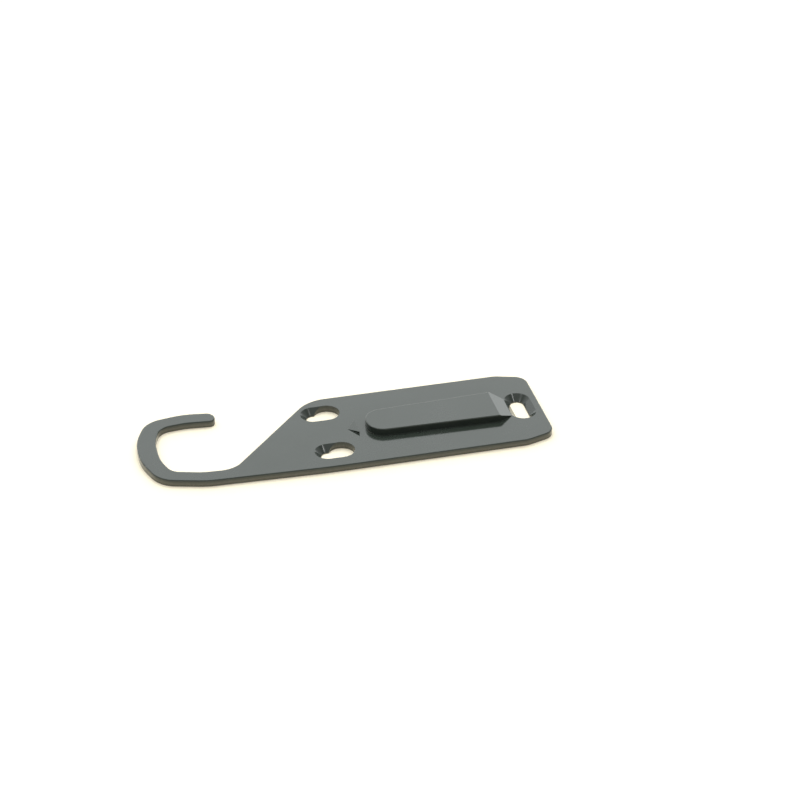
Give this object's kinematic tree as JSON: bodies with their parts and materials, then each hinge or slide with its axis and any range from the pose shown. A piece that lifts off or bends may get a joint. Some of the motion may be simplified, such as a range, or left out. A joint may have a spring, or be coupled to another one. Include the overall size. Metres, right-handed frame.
{
  "type": "flat roof hook plate",
  "caption": "Flat steel plate with an open hook cut into one end, countersunk keyholes and cross slot, a raised tongue and a small catch nib.",
  "frame": {"origin": "on the lower flat face, on the plate's centre line, midway along its length", "axes": "+X along the plate from the hook end to the square end, +Y across it towards the hook's open side, +Z out of the face that carries the tongue"},
  "size_m": [0.1658, 0.0518, 0.006],
  "materials": {
    "dark_coating": "semi-gloss dark grey coating on steel sheet"
  },
  "bodies": {
    "root": {"hook_plate": "dark_coating"}
  },
  "joints": []
}
